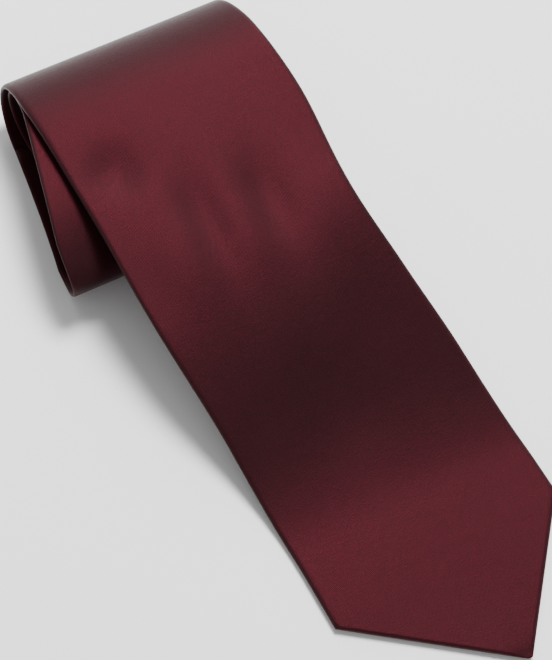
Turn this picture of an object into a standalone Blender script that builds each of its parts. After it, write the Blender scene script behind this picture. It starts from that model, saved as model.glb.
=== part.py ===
"""A necktie wound flat, with its front blade laid out on top.

The tie is one long strip.  Its front blade lies on top with the point towards -Y, goes round the
outer fold at +Y, and the rest of the strip is wound flat underneath, satin outwards, ending with
the tail blade in the middle of the winding.  The strip is an envelope of satin with an
interlining inside it, closed down the back by one slip stitch.
Units are metres, +Z is up, and the winding rests on z = 0.
"""
import bpy
import bmesh
import math
from mathutils import Vector

for old in list(bpy.data.objects):
    bpy.data.objects.remove(old, do_unlink=True)

MM = 0.001

# ---- the strip -------------------------------------------------------------------------------
SATIN = 0.25 * MM                 # one ply of satin
PLY_GAP = 0.20 * MM               # air between the satin and the interlining
LINING = 0.55 * MM                # interlining
STRIP = 2 * SATIN + 2 * PLY_GAP + LINING   # whole strip, front satin to back satin
LAYER_GAP = 0.30 * MM             # air between two layers of the winding
PITCH = STRIP + LAYER_GAP         # one layer to the next
SEAM_SLIT = 1.2 * MM              # where the two back flaps meet
EDGE_GAP = 0.6 * MM               # interlining edge to the inside of the fold
CUT = 0.30 * MM                   # gap where one piece of the strip follows another

# ---- the winding, seen from the side -----------------------------------------------------------
FOLD_1_Y = 0.10935                # centre of the outer fold, the front blade goes round it
FOLD_2_Y = 0.06305                # centre of the folds at the other end
FOLD_2_RADIUS = 14.2 * MM         # mid-strip radius of the second fold
TURNS = 16                        # U-turns in the whole winding
KEEPER_ROOM = 1.9 * MM            # room under the front blade for its keeper loop
ARC_STEPS = 8                     # straight pieces in one U-turn

# ---- the front blade, seen from above ---------------------------------------------------------
LIFT_HINGE_Y = 0.1262             # the front blade lifts about the outside of the outer fold
FLEX_HINGE_Y = 0.0570             # it bends here, at the near edge of the winding
TIP_HINGE_Y = -0.0420             # and here, where it reaches the table
SLOPE_TOP_Y = 0.0570              # the blade starts down from the winding
SLOPE_END_Y = -0.0540             # and is flat on the table from here
BLADE_REST = 0.5 * MM             # underside of the flat part above the table
LEFT_CORNER = (-0.0293, -0.0890)
RIGHT_CORNER = (0.0606, -0.0783)
POINT = (0.0246, -0.1258)
POINT_CUT = 1.0 * MM              # the point is folded round, not needle sharp
# edges of the blade: (y, x) from the outer fold down to the two corners
LEFT_EDGE = ((0.1094, -0.0475), (0.0600, -0.0443), (0.0200, -0.0412), (-0.0220, -0.0345),
             (-0.0600, -0.0306), (-0.0890, -0.0293))
RIGHT_EDGE = ((0.1094, 0.0378), (0.0780, 0.0410), (0.0400, 0.0405), (0.0100, 0.0458),
              (-0.0220, 0.0530), (-0.0570, 0.0586), (-0.0783, 0.0606))
HEM = 13.0 * MM                   # satin folded over at the point
V_TOP_Y = -0.0455                 # the flaps part here and show the tipping
SEAM_TURN_Y = -0.0600             # from here down the middle line heads for the point
HEM_TOP_Y = -0.0840               # where the parting flaps reach the hem
HEM_SLANT = 1.45                  # width of the hem across the strip, on the slanted edges
FLAP_LEAST = 1.2 * MM             # the flaps never get narrower than this

# ---- widths along the strip, by distance from the point of the front blade ----------------------
WIDTHS = ((0.255, 0.0840), (0.330, 0.0790), (0.420, 0.0735), (0.560, 0.0600), (0.700, 0.0470),
          (0.820, 0.0395), (0.950, 0.0370), (1.100, 0.0390), (1.300, 0.0455), (1.420, 0.0480))
# sideways middle of the strip by its turn: U-turn number k runs from k + 0.4 to k + 0.6 and the
# straight after it on to k + 1.4, the front blade ending at 1
MIDDLES = ((1.0, -0.0049), (1.6, -0.0085), (2.4, -0.0163), (2.5, -0.0197), (2.6, -0.0202),
           (3.4, -0.0120), (3.6, -0.0105), (4.4, -0.0120), (17.0, -0.0120))
TURN_START = 0.4
TURN_END = 0.6
JOIN_1_LAYER = 9                  # the front blade's satin is joined to the neck on this layer
JOIN_2_LAYER = 12                 # and the neck to the tail blade on this one
JOIN_SKEW = 0.8                   # slant of those two joins
TAIL_POINT = 24.0 * MM            # length of the tail blade's point
TAIL_REST = 4.0 * MM              # from the tail's point to the fold beyond it
TAIL_TACK = 4.0 * MM              # from the tail's corners to its bar tack
FOLD_PINCH = 2.5 * MM             # the right edge draws in half way round the outer fold


def ease(t):
    t = min(1.0, max(0.0, t))
    return t * t * (3 - 2 * t)


def between(points, at):
    """A smooth curve through a few control points given as (position, value)."""
    order = sorted(points)
    if at <= order[0][0]:
        return order[0][1]
    if at >= order[-1][0]:
        return order[-1][1]
    n = len(order)
    slopes = []
    for i in range(n):
        a = order[max(0, i - 1)]
        b = order[min(n - 1, i + 1)]
        slopes.append((b[1] - a[1]) / (b[0] - a[0]))
    for i in range(n - 1):
        if order[i][0] <= at <= order[i + 1][0]:
            h = order[i + 1][0] - order[i][0]
            t = (at - order[i][0]) / h
            return ((1 + 2 * t) * (1 - t) ** 2 * order[i][1] + t * (1 - t) ** 2 * h * slopes[i]
                    + t * t * (3 - 2 * t) * order[i + 1][1] + t * t * (t - 1) * h * slopes[i + 1])
    return order[-1][1]


# ---- heights of the winding ---------------------------------------------------------------------
FOLD_2_Z = STRIP / 2 + FOLD_2_RADIUS
LAYER_3_TOP = STRIP / 2 + 2 * FOLD_2_RADIUS + STRIP / 2
BLADE_TOP_Z = LAYER_3_TOP + KEEPER_ROOM + STRIP / 2       # mid-strip height of the front blade
FOLD_1_RADIUS = (BLADE_TOP_Z - STRIP / 2) / 2
FOLD_1_Z = STRIP / 2 + FOLD_1_RADIUS
BLADE_LOW_Z = BLADE_REST + STRIP / 2


def blade_height(y):
    t = (y - SLOPE_END_Y) / (SLOPE_TOP_Y - SLOPE_END_Y)
    return BLADE_LOW_Z + (BLADE_TOP_Z - BLADE_LOW_Z) * ease(t)


def blade_normal(y):
    h = 0.0002
    slope = (blade_height(y + h) - blade_height(y - h)) / (2 * h)
    n = Vector((0.0, -slope, 1.0))
    return n.normalized()


def left_edge(y):
    if y >= LEFT_CORNER[1]:
        return between(LEFT_EDGE, y)
    t = (LEFT_CORNER[1] - y) / (LEFT_CORNER[1] - POINT[1])
    return LEFT_CORNER[0] + (POINT[0] - LEFT_CORNER[0]) * t


def right_edge(y):
    if y >= RIGHT_CORNER[1]:
        return between(RIGHT_EDGE, y)
    t = (RIGHT_CORNER[1] - y) / (RIGHT_CORNER[1] - POINT[1])
    return RIGHT_CORNER[0] + (POINT[0] - RIGHT_CORNER[0]) * t


def seam_x(y):
    """The back seam runs down the middle of the blade and on to its point."""
    if y >= SEAM_TURN_Y:
        return (left_edge(y) + right_edge(y)) / 2
    top = (left_edge(SEAM_TURN_Y) + right_edge(SEAM_TURN_Y)) / 2
    return top + (POINT[0] - top) * (SEAM_TURN_Y - y) / (SEAM_TURN_Y - POINT[1])


class Station:
    """One cross-section of the strip: a middle, an outward normal, two edges and the seam."""

    def __init__(self, y, z, normal, left, right, seam, flap_left, flap_right):
        self.y = y
        self.z = z
        self.normal = normal
        self.left = left
        self.right = right
        self.seam = seam
        self.flap_left = flap_left
        self.flap_right = flap_right
        self.skew = 0.0

    def point(self, x, depth):
        y = self.y + self.normal.y * depth + self.skew * (x - (self.left + self.right) / 2)
        return Vector((x, y, self.z + self.normal.z * depth))


def blade_station(y):
    left = left_edge(y)
    right = right_edge(y)
    seam = seam_x(y)
    slit = SEAM_SLIT / 2
    flap_left = seam - slit
    flap_right = seam + slit
    if y < V_TOP_Y:
        # below the bar tack the flaps part, down to the hem along the two edges of the point
        down = (V_TOP_Y - y) / (V_TOP_Y - HEM_TOP_Y)
        hem_left = left + HEM * (1.0 if y > LEFT_CORNER[1] else HEM_SLANT)
        hem_right = right - HEM * (1.0 if y > RIGHT_CORNER[1] else HEM_SLANT)
        flap_left = max(left + FLAP_LEAST,
                        min(seam - slit, flap_left + (hem_left - flap_left) * min(1.0, down)))
        flap_right = min(right - FLAP_LEAST,
                         max(seam + slit, flap_right + (hem_right - flap_right) * min(1.0, down)))
    return Station(y, blade_height(y), blade_normal(y), left, right, seam, flap_left, flap_right)


# ---- the winding as a run of stations -------------------------------------------------------------
def fold_radius(k):
    if k == 1:
        return FOLD_1_RADIUS
    return FOLD_2_RADIUS - (k - 2) * PITCH / 2


def winding_line():
    """(y, z, normal, layer number) of each U-turn's points, from the outer fold inwards."""
    line = []
    z = BLADE_TOP_Z
    for k in range(1, TURNS + 1):
        r = fold_radius(k)
        outward = 1.0 if k % 2 else -1.0
        centre_y = FOLD_1_Y if k % 2 else FOLD_2_Y
        centre_z = z - r if k % 2 else z + r
        for i in range(ARC_STEPS + 1):
            a = math.pi * i / ARC_STEPS
            side = outward * math.sin(a)
            up = math.cos(a) if k % 2 else -math.cos(a)
            normal = Vector((0.0, side, up))
            line.append((centre_y + r * side, centre_z + r * up, normal, k + i / ARC_STEPS))
        z = centre_z - r if k % 2 else centre_z + r
    return line


LINE = winding_line()


def distances():
    """Distance of each point of the line from the point of the front blade."""
    top = 0.0
    steps = 240
    last = Vector((POINT[0], POINT[1], blade_height(POINT[1])))
    for i in range(1, steps + 1):
        y = POINT[1] + (FOLD_1_Y - POINT[1]) * i / steps
        here = Vector((seam_x(y), y, blade_height(y)))
        top += (here - last).length
        last = here
    out = [top]
    for i in range(1, len(LINE)):
        a = LINE[i - 1]
        b = LINE[i]
        if a[3] == b[3]:
            # a straight between two U-turns
            out.append(out[-1] + abs(b[0] - a[0]))
        else:
            k = int(a[3])
            out.append(out[-1] + math.pi * fold_radius(k) / ARC_STEPS)
    return out


ALONG = distances()


def turn_of(i):
    """How far round the winding point i of the line is, as MIDDLES counts it."""
    k = i // (ARC_STEPS + 1) + 1
    start = 1.0 if k == 1 else k + TURN_START
    return start + (k + TURN_END - start) * (i % (ARC_STEPS + 1)) / ARC_STEPS


def winding_station(i, extra=None, width_cut=None):
    y, z, normal, layer = LINE[i]
    along = ALONG[i]
    turn = turn_of(i)
    if extra is not None:
        # a station part way along the straight that follows point i
        straight = abs(extra - y)
        along += straight
        turn += (1.0 + TURN_START - TURN_END) * straight / (FOLD_1_Y - FOLD_2_Y)
        y = extra
    width = between(WIDTHS, along)
    if width_cut is not None:
        width = width_cut
    middle = between(MIDDLES, turn)
    left = middle - width / 2
    right = middle + width / 2
    if layer < 2.0:
        # round the outer fold the edges run on from those of the front blade
        t = ease(layer - 1.0)
        left = (1 - t) * left_edge(FOLD_1_Y) + t * left
        right = (1 - t) * right_edge(FOLD_1_Y) + t * right
        right -= FOLD_PINCH * math.sin(math.pi * (layer - 1.0))
    seam = (left + right) / 2
    return Station(y, z, normal, left, right, seam, seam - SEAM_SLIT / 2, seam + SEAM_SLIT / 2)


# ---- solids ------------------------------------------------------------------------------------
parts = bpy.data.collections.new("necktie")
bpy.context.scene.collection.children.link(parts)


def material(name, colour, rough, sheen=0.0):
    m = bpy.data.materials.new(name)
    m.use_nodes = True
    shader = m.node_tree.nodes["Principled BSDF"]
    shader.inputs["Base Color"].default_value = (colour[0], colour[1], colour[2], 1.0)
    shader.inputs["Roughness"].default_value = rough
    shader.inputs["Sheen Weight"].default_value = sheen
    return m


def finish(name, mesh, colour, rough, sheen=0.0):
    mesh.name = name
    obj = bpy.data.objects.new(name, mesh)
    parts.objects.link(obj)
    mesh.materials.append(material(name + "_cloth", colour, rough, sheen))
    return obj


# the end of the envelope's wall, corner by corner of envelope_ring
ENVELOPE_END = ((0, 1, 14, 15), (1, 2, 14), (2, 3, 13, 14), (3, 4, 13), (4, 5, 12, 13),
                (5, 6, 12), (6, 7, 11, 12), (7, 8, 11), (8, 9, 10, 11))


def loft(name, rings, colour, rough, sheen=0.0):
    """A closed solid through rings that all have the same number of points."""
    bm = bmesh.new()
    rows = []
    for ring in rings:
        rows.append([bm.verts.new(p) for p in ring])
    n = len(rows[0])
    for a, b in zip(rows, rows[1:]):
        for i in range(n):
            j = (i + 1) % n
            bm.faces.new((a[i], a[j], b[j], b[i]))
    ends = ENVELOPE_END if n == 16 else (tuple(range(n)),)
    for corners in ends:
        bm.faces.new([rows[0][c] for c in reversed(corners)])
        bm.faces.new([rows[-1][c] for c in corners])
    bmesh.ops.triangulate(bm, faces=bm.faces[:])
    bmesh.ops.recalc_face_normals(bm, faces=bm.faces[:])
    mesh = bpy.data.meshes.new(name)
    bm.to_mesh(mesh)
    bm.free()
    return finish(name, mesh, colour, rough, sheen)


def envelope_ring(s):
    """The satin envelope: a flat tube, open along the back seam."""
    half = STRIP / 2
    inside = half - SATIN
    side = SATIN * 1.2
    round_off = 0.35 * MM
    return [
        s.point(s.flap_left, -half),
        s.point(s.left + round_off, -half),
        s.point(s.left, -half + round_off),
        s.point(s.left, half - round_off),
        s.point(s.left + round_off, half),
        s.point(s.right - round_off, half),
        s.point(s.right, half - round_off),
        s.point(s.right, -half + round_off),
        s.point(s.right - round_off, -half),
        s.point(s.flap_right, -half),
        s.point(s.flap_right, -inside),
        s.point(s.right - side, -inside),
        s.point(s.right - side, inside),
        s.point(s.left + side, inside),
        s.point(s.left + side, -inside),
        s.point(s.flap_left, -inside),
    ]


def lining_ring(s):
    half = LINING / 2
    left = s.left + SATIN * 1.2 + EDGE_GAP
    right = s.right - SATIN * 1.2 - EDGE_GAP
    return [s.point(left, -half), s.point(left, half), s.point(right, half),
            s.point(right, -half)]


def rod_ring(s, x, depth, radius):
    return [s.point(x - radius, depth), s.point(x, depth + radius), s.point(x + radius, depth),
            s.point(x, depth - radius)]


def spread(low, high, step):
    count = max(1, int(math.ceil(abs(high - low) / step)))
    return [low + (high - low) * i / count for i in range(count + 1)]


SATIN_RED = (0.105, 0.014, 0.022)
BACK_RED = (0.10, 0.014, 0.022)
WOOL = (0.62, 0.58, 0.50)
TIPPING = (0.030, 0.006, 0.009)
THREAD = (0.085, 0.012, 0.018)
LABEL = (0.012, 0.010, 0.011)

# front blade, in the three lengths that bend
upper_ys = spread(FOLD_1_Y - CUT, FLEX_HINGE_Y + CUT / 2, 0.030)
middle_ys = spread(FLEX_HINGE_Y - CUT / 2, TIP_HINGE_Y + CUT / 2, 0.0085)
tip_ys = sorted(set(
    [TIP_HINGE_Y - CUT / 2, V_TOP_Y, -0.0500, -0.0545, -0.0620, -0.0700, RIGHT_CORNER[1],
     -0.0840, LEFT_CORNER[1], -0.0960, -0.1030, -0.1090, -0.1150, POINT[1] + POINT_CUT * 2]),
    reverse=True)

for label, ys in (("upper", upper_ys), ("middle", middle_ys), ("tip", tip_ys)):
    stations = [blade_station(y) for y in ys]
    loft("front_blade_satin_" + label, [envelope_ring(s) for s in stations], SATIN_RED, 0.38,
         0.3)
    if label == "tip":
        # the interlining stops short of the folded edges of the point
        inner = [s for s in stations if s.right - s.left > 14 * MM]
        loft("interlining_" + label, [lining_ring(s) for s in inner], WOOL, 0.95)
    else:
        loft("interlining_" + label, [lining_ring(s) for s in stations], WOOL, 0.95)

# the outer fold
fold = [winding_station(i) for i in range(ARC_STEPS + 1)]
loft("front_blade_satin_fold", [envelope_ring(s) for s in fold], SATIN_RED, 0.38, 0.3)
loft("interlining_fold", [lining_ring(s) for s in fold], WOOL, 0.95)


# the wound length, in three joined pieces of satin
def start_index(layer):
    """The point of the line where the straight of this layer begins."""
    return max(i for i in range(len(LINE) - 1) if LINE[i][3] == layer and LINE[i + 1][3] == layer)


def join_station(layer, offset):
    i = start_index(layer)
    middle_y = (FOLD_1_Y + FOLD_2_Y) / 2
    away = -1.0 if LINE[i][0] > middle_y else 1.0
    s = winding_station(i, extra=middle_y + away * offset)
    s.skew = JOIN_SKEW
    return s


def run(first, last):
    return [winding_station(i) for i in range(first, last + 1)]


first = ARC_STEPS
start_cut = winding_station(first, extra=FOLD_1_Y - CUT)
join_a = start_index(JOIN_1_LAYER)
join_b = start_index(JOIN_2_LAYER)
wound = [start_cut] + run(first + 1, join_a) + [join_station(JOIN_1_LAYER, -CUT / 2)]
neck = ([join_station(JOIN_1_LAYER, CUT / 2)] + run(join_a + 1, join_b)
        + [join_station(JOIN_2_LAYER, -CUT / 2)])
tail_last = len(LINE) - 1
tail_width = between(WIDTHS, ALONG[-1])
tail = [join_station(JOIN_2_LAYER, CUT / 2)] + run(join_b + 1, tail_last)
tail_direction = 1.0 if LINE[-1][0] < (FOLD_1_Y + FOLD_2_Y) / 2 else -1.0
if tail_direction > 0:
    tail_end = FOLD_1_Y - TAIL_REST
    tail_corner = tail_end - TAIL_POINT
else:
    tail_end = FOLD_2_Y + TAIL_REST
    tail_corner = tail_end + TAIL_POINT
tail.append(winding_station(tail_last, extra=tail_corner))
half_way = (tail_corner + tail_end) / 2
tail.append(winding_station(tail_last, extra=half_way, width_cut=tail_width * 0.53))
tail.append(winding_station(tail_last, extra=tail_end, width_cut=tail_width * 0.06))
for s, open_by in ((tail[-4], 0.0), (tail[-3], 5.0 * MM), (tail[-2], 4.0 * MM)):
    s.flap_left -= open_by
    s.flap_right += open_by

loft("front_blade_satin_wound", [envelope_ring(s) for s in wound], SATIN_RED, 0.38, 0.3)
loft("neck_satin", [envelope_ring(s) for s in neck], SATIN_RED, 0.38, 0.3)
loft("tail_blade_satin", [envelope_ring(s) for s in tail], SATIN_RED, 0.38, 0.3)

# the interlining is cut in two lengths that meet in the neck
meet = start_index(JOIN_1_LAYER + 1)
meet_y = (FOLD_1_Y + FOLD_2_Y) / 2
meet_sign = 1.0 if LINE[meet][0] > meet_y else -1.0
lining_front = ([start_cut] + run(first + 1, meet)
                + [winding_station(meet, extra=meet_y + meet_sign * CUT / 2)])
lining_tail = ([winding_station(meet, extra=meet_y - meet_sign * CUT / 2)]
               + run(meet + 1, tail_last) + [tail[-3]])
loft("interlining_wound", [lining_ring(s) for s in lining_front], WOOL, 0.95)
loft("interlining_tail", [lining_ring(s) for s in lining_tail], WOOL, 0.95)


# ---- the back of the front blade --------------------------------------------------------------
def plate(name, ys, x_low, x_high, depth_low, depth_high, colour, rough):
    """A thin piece that follows the blade between two depths."""
    rings = []
    for y in ys:
        s = blade_station(y)
        a = x_low(y)
        b = x_high(y)
        rings.append([s.point(a, depth_low), s.point(a, depth_high), s.point(b, depth_high),
                      s.point(b, depth_low)])
    return loft(name, rings, colour, rough)


BACK = -STRIP / 2


def tipping_left(y):
    return blade_station(y).flap_left + 0.3 * MM


def tipping_right(y):
    return blade_station(y).flap_right - 0.3 * MM


tipping_ys = [y for y in tip_ys if tipping_right(y) - tipping_left(y) > 1.5 * MM]
plate("front_tipping", tipping_ys, tipping_left, tipping_right, BACK + 0.02 * MM,
      BACK + SATIN - 0.02 * MM, TIPPING, 0.5)

# slip stitch, a thread lying in the back seam
for label, ys in (("upper", upper_ys), ("middle", middle_ys)):
    loft("slip_stitch_" + label,
         [rod_ring(blade_station(y), seam_x(y), BACK + 0.20 * MM, 0.17 * MM) for y in ys],
         THREAD, 0.6)
loft("slip_stitch_wound",
     [rod_ring(s, s.seam, BACK + 0.20 * MM, 0.17 * MM)
      for s in wound[:-1]],
     THREAD, 0.6)

# the bar tack that stops the seam, and the slack of the thread left beside it
TACK_Y = V_TOP_Y + 2.2 * MM


def bar(name, x_mid, y_mid, length_x, length_y, low, high, colour, rough=0.6, turn=0.0):
    """A small block set on the back of the blade; low and high are depths below the back."""
    bm = bmesh.new()
    bmesh.ops.create_cube(bm, size=1.0)
    s = blade_station(y_mid)
    for v in bm.verts:
        x = v.co.x * length_x
        y = v.co.y * length_y
        depth = BACK - (low if v.co.z > 0 else high)
        along = Vector((0.0, s.normal.z, -s.normal.y))
        base = Vector((x_mid + x, y_mid, s.z)) + along * y + s.normal * depth
        v.co = base
    bmesh.ops.recalc_face_normals(bm, faces=bm.faces[:])
    bmesh.ops.triangulate(bm, faces=bm.faces[:])
    mesh = bpy.data.meshes.new(name)
    bm.to_mesh(mesh)
    bm.free()
    return finish(name, mesh, colour, rough)


bar("front_bar_tack", seam_x(TACK_Y), TACK_Y, 7.0 * MM, 1.0 * MM, 0.05 * MM, 0.35 * MM, THREAD)


def wire_loop(name, centre, half_x, half_y, radius, colour):
    """A closed loop of thread lying flat."""
    bm = bmesh.new()
    around = 20
    rows = []
    for i in range(around):
        a = 2 * math.pi * i / around
        middle = centre + Vector((half_x * math.cos(a), half_y * math.sin(a), 0.0))
        out = Vector((math.cos(a) / half_x, math.sin(a) / half_y, 0.0)).normalized()
        ring = []
        for k in range(6):
            b = 2 * math.pi * k / 6
            ring.append(bm.verts.new(middle + out * (radius * math.cos(b))
                                     + Vector((0, 0, radius * math.sin(b)))))
        rows.append(ring)
    for i in range(around):
        p = rows[i]
        q = rows[(i + 1) % around]
        for k in range(6):
            m = (k + 1) % 6
            bm.faces.new((p[k], q[k], q[m], p[m]))
    bmesh.ops.triangulate(bm, faces=bm.faces[:])
    bmesh.ops.recalc_face_normals(bm, faces=bm.faces[:])
    mesh = bpy.data.meshes.new(name)
    bm.to_mesh(mesh)
    bm.free()
    return finish(name, mesh, colour, 0.6)


slack_y = V_TOP_Y - 11.0 * MM
slack_z = blade_height(slack_y) + BACK - 0.25 * MM
wire_loop("slack_thread_loop", Vector((seam_x(slack_y), slack_y, slack_z)), 3.0 * MM, 8.0 * MM,
          0.17 * MM, THREAD)

# blank care label sewn beside the tipping
bar("care_label", seam_x(-0.0750) - 14.0 * MM, -0.0750, 13.0 * MM, 17.0 * MM, 0.06 * MM,
    0.26 * MM, (0.7, 0.68, 0.64), 0.7)

# keeper loop across the back, its ends stepped up to the flaps, and its two tacks
KEEPER_Y = 0.0700
KEEPER_HALF = 31.0 * MM
KEEPER_DEEP = 0.7 * MM
KEEPER_WIDE = 12.0 * MM


def keeper():
    x0 = seam_x(KEEPER_Y)
    low = blade_height(KEEPER_Y) + BACK
    outer = low - 0.62 * MM - KEEPER_DEEP
    inner = low - 0.62 * MM
    foot = low - 0.15 * MM
    step = 5.0 * MM
    outline = [(-KEEPER_HALF, foot), (-KEEPER_HALF + step, foot), (-KEEPER_HALF + step * 1.4, inner),
               (KEEPER_HALF - step * 1.4, inner), (KEEPER_HALF - step, foot), (KEEPER_HALF, foot),
               (KEEPER_HALF, foot - KEEPER_DEEP), (KEEPER_HALF - step, foot - KEEPER_DEEP),
               (KEEPER_HALF - step * 1.4, outer), (-KEEPER_HALF + step * 1.4, outer),
               (-KEEPER_HALF + step, foot - KEEPER_DEEP), (-KEEPER_HALF, foot - KEEPER_DEEP)]
    rings = []
    for y in (KEEPER_Y - KEEPER_WIDE / 2, KEEPER_Y + KEEPER_WIDE / 2):
        rings.append([Vector((x0 + x, y, z)) for x, z in outline])
    return loft("keeper_loop", rings, BACK_RED, 0.4, 0.3)


keeper()
for label, sign in (("left", -1.0), ("right", 1.0)):
    bar("keeper_tack_" + label, seam_x(KEEPER_Y) + sign * (KEEPER_HALF - 2.5 * MM), KEEPER_Y,
        0.8 * MM, 10.0 * MM, 0.15 * MM + KEEPER_DEEP + 0.05 * MM,
        0.15 * MM + KEEPER_DEEP + 0.35 * MM, THREAD)

# blank woven label above the keeper loop, stitched at both ends
LABEL_Y = 0.0915
bar("blank_label", seam_x(LABEL_Y), LABEL_Y, 52.0 * MM, 24.0 * MM, 0.10 * MM, 0.45 * MM, LABEL,
    0.55)
for label, sign in (("left", -1.0), ("right", 1.0)):
    bar("label_stitch_" + label, seam_x(LABEL_Y) + sign * 24.5 * MM, LABEL_Y, 0.5 * MM,
        22.0 * MM, 0.50 * MM, 0.75 * MM, THREAD)

# tail blade: tipping in its open point, and its bar tack

def tail_plate(name, stations, shrink, colour):
    rings = []
    for s in stations:
        a = s.flap_left + shrink
        b = s.flap_right - shrink
        rings.append([s.point(a, BACK + 0.02 * MM), s.point(a, BACK + SATIN - 0.02 * MM),
                      s.point(b, BACK + SATIN - 0.02 * MM), s.point(b, BACK + 0.02 * MM)])
    return loft(name, rings, colour, 0.5)


tail_plate("tail_tipping", [tail[-3], tail[-2]], 0.3 * MM, TIPPING)
tack = winding_station(tail_last, extra=tail_corner - tail_direction * TAIL_TACK)
rings = []
for dy in (-0.5 * MM, 0.5 * MM):
    ring = []
    for x, depth in ((-3.0, 0.05), (3.0, 0.05), (3.0, 0.35), (-3.0, 0.35)):
        p = tack.point(tack.seam + x * MM, BACK - depth * MM)
        ring.append(Vector((p.x, p.y + dy, p.z)))
    rings.append(ring)
loft("tail_bar_tack", rings, THREAD, 0.6)

# the origin goes to the middle of the base of everything
low = [min(v.co[k] for o in parts.objects for v in o.data.vertices) for k in range(3)]
high = [max(v.co[k] for o in parts.objects for v in o.data.vertices) for k in range(3)]
to_origin = Vector((-(low[0] + high[0]) / 2, -(low[1] + high[1]) / 2, 0.0))
LIFT_AXIS = Vector((0.0, LIFT_HINGE_Y, FOLD_1_Z)) + to_origin
FLEX_AXIS = Vector((0.0, FLEX_HINGE_Y, BLADE_TOP_Z + STRIP / 2)) + to_origin
TIP_AXIS = blade_station(TIP_HINGE_Y).point(0.0, STRIP / 2) + to_origin

# every piece that moves has its own origin on the axis it turns about
AXES = {}
for name in ("front_blade_satin_upper", "interlining_upper", "slip_stitch_upper", "keeper_loop",
             "keeper_tack_left", "keeper_tack_right", "blank_label", "label_stitch_left",
             "label_stitch_right"):
    AXES[name] = LIFT_AXIS
for name in ("front_blade_satin_middle", "interlining_middle", "slip_stitch_middle"):
    AXES[name] = FLEX_AXIS
for name in ("front_blade_satin_tip", "interlining_tip", "front_tipping", "front_bar_tack",
             "slack_thread_loop", "care_label"):
    AXES[name] = TIP_AXIS

for obj in parts.objects:
    pivot = AXES.get(obj.name, Vector((0.0, 0.0, 0.0)))
    for v in obj.data.vertices:
        v.co += to_origin - pivot
    obj.location = pivot

for label, place in (("lift", LIFT_AXIS), ("flex", FLEX_AXIS), ("tip", TIP_AXIS)):
    print("hinge %s y %.6f z %.6f" % (label, place.y, place.z))
print("moved by", tuple(round(c, 6) for c in to_origin), "lowest", round(low[2], 6))
print("strip length %.3f m, blade top %.4f, front blade %.3f" % (
    ALONG[-1] + abs(tail_end - LINE[-1][0]), BLADE_TOP_Z + STRIP / 2, ALONG[0]))
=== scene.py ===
"""The look of a necktie wound flat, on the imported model's frame.

The cloth is rebuilt as a thin satin envelope with rolled edges, two back flaps and an open point,
round an interlining, on the same line that the CAD strip follows.  Metres, +Z up.
"""
import math

import bpy
import numpy as np
from mathutils import Matrix, Vector


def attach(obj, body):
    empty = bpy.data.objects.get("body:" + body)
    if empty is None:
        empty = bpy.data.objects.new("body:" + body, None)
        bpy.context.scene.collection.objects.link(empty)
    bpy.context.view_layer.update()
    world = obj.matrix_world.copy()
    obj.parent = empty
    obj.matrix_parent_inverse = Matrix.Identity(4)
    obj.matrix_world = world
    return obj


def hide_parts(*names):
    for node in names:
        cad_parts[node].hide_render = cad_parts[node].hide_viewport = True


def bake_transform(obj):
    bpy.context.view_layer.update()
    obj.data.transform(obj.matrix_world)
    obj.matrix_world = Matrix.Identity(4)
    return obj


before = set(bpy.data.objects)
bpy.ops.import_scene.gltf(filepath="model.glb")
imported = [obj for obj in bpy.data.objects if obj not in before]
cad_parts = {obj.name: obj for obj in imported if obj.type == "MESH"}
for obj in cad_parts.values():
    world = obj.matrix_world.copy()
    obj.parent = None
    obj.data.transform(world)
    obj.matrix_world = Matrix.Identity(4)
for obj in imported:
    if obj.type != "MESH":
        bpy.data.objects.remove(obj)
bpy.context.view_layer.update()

MM = 0.001

# ---- the strip's line: the CAD strip's, but for the three values that say otherwise ---------------
STRIP = 1.45 * MM
PITCH = 1.75 * MM
FOLD_1_Y = 0.10935
FOLD_2_Y = 0.06305
FOLD_2_RADIUS = 14.2 * MM
TURNS = 16
KEEPER_ROOM = 1.9 * MM
SLOPE_TOP_Y = 0.0500              # the CAD strip has 0.0570: the shown cloth comes down later
SLOPE_END_Y = -0.0610             # the CAD strip has -0.0540
BLADE_REST = 0.85 * MM            # height of the tip off the table; the CAD strip has 0.5 mm
LEFT_CORNER = (-0.0293, -0.0890)
RIGHT_CORNER = (0.0606, -0.0783)
POINT = (0.0246, -0.1258)
LEFT_EDGE = ((0.1094, -0.0475), (0.0600, -0.0443), (0.0200, -0.0412), (-0.0220, -0.0345),
             (-0.0600, -0.0306), (-0.0890, -0.0293))
RIGHT_EDGE = ((0.1094, 0.0378), (0.0780, 0.0410), (0.0400, 0.0405), (0.0100, 0.0458),
              (-0.0220, 0.0530), (-0.0570, 0.0586), (-0.0783, 0.0606))
V_TOP_Y = -0.0455                 # the two back flaps part here
SEAM_TURN_Y = -0.06               # and the seam's line turns towards the point here
WIDTHS = ((0.255, 0.0840), (0.330, 0.0790), (0.420, 0.0735), (0.560, 0.0600), (0.700, 0.0470),
          (0.820, 0.0395), (0.950, 0.0370), (1.100, 0.0390), (1.300, 0.0455), (1.420, 0.0480))
# sideways middle of the strip by its turn: U-turn number k runs from k + 0.4 to k + 0.6 and the
# straight after it on to k + 1.4, the front blade ending at 1
MIDDLES = ((1.0, -0.0049), (1.6, -0.0085), (2.4, -0.0163), (2.5, -0.0197), (2.6, -0.0202),
           (3.4, -0.0120), (3.6, -0.0105), (4.4, -0.0120), (17.0, -0.0120))
TURN_START = 0.4
TURN_END = 0.6
JOIN_1_LAYER = 9
JOIN_2_LAYER = 12
TAIL_POINT = 24.0 * MM

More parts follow.
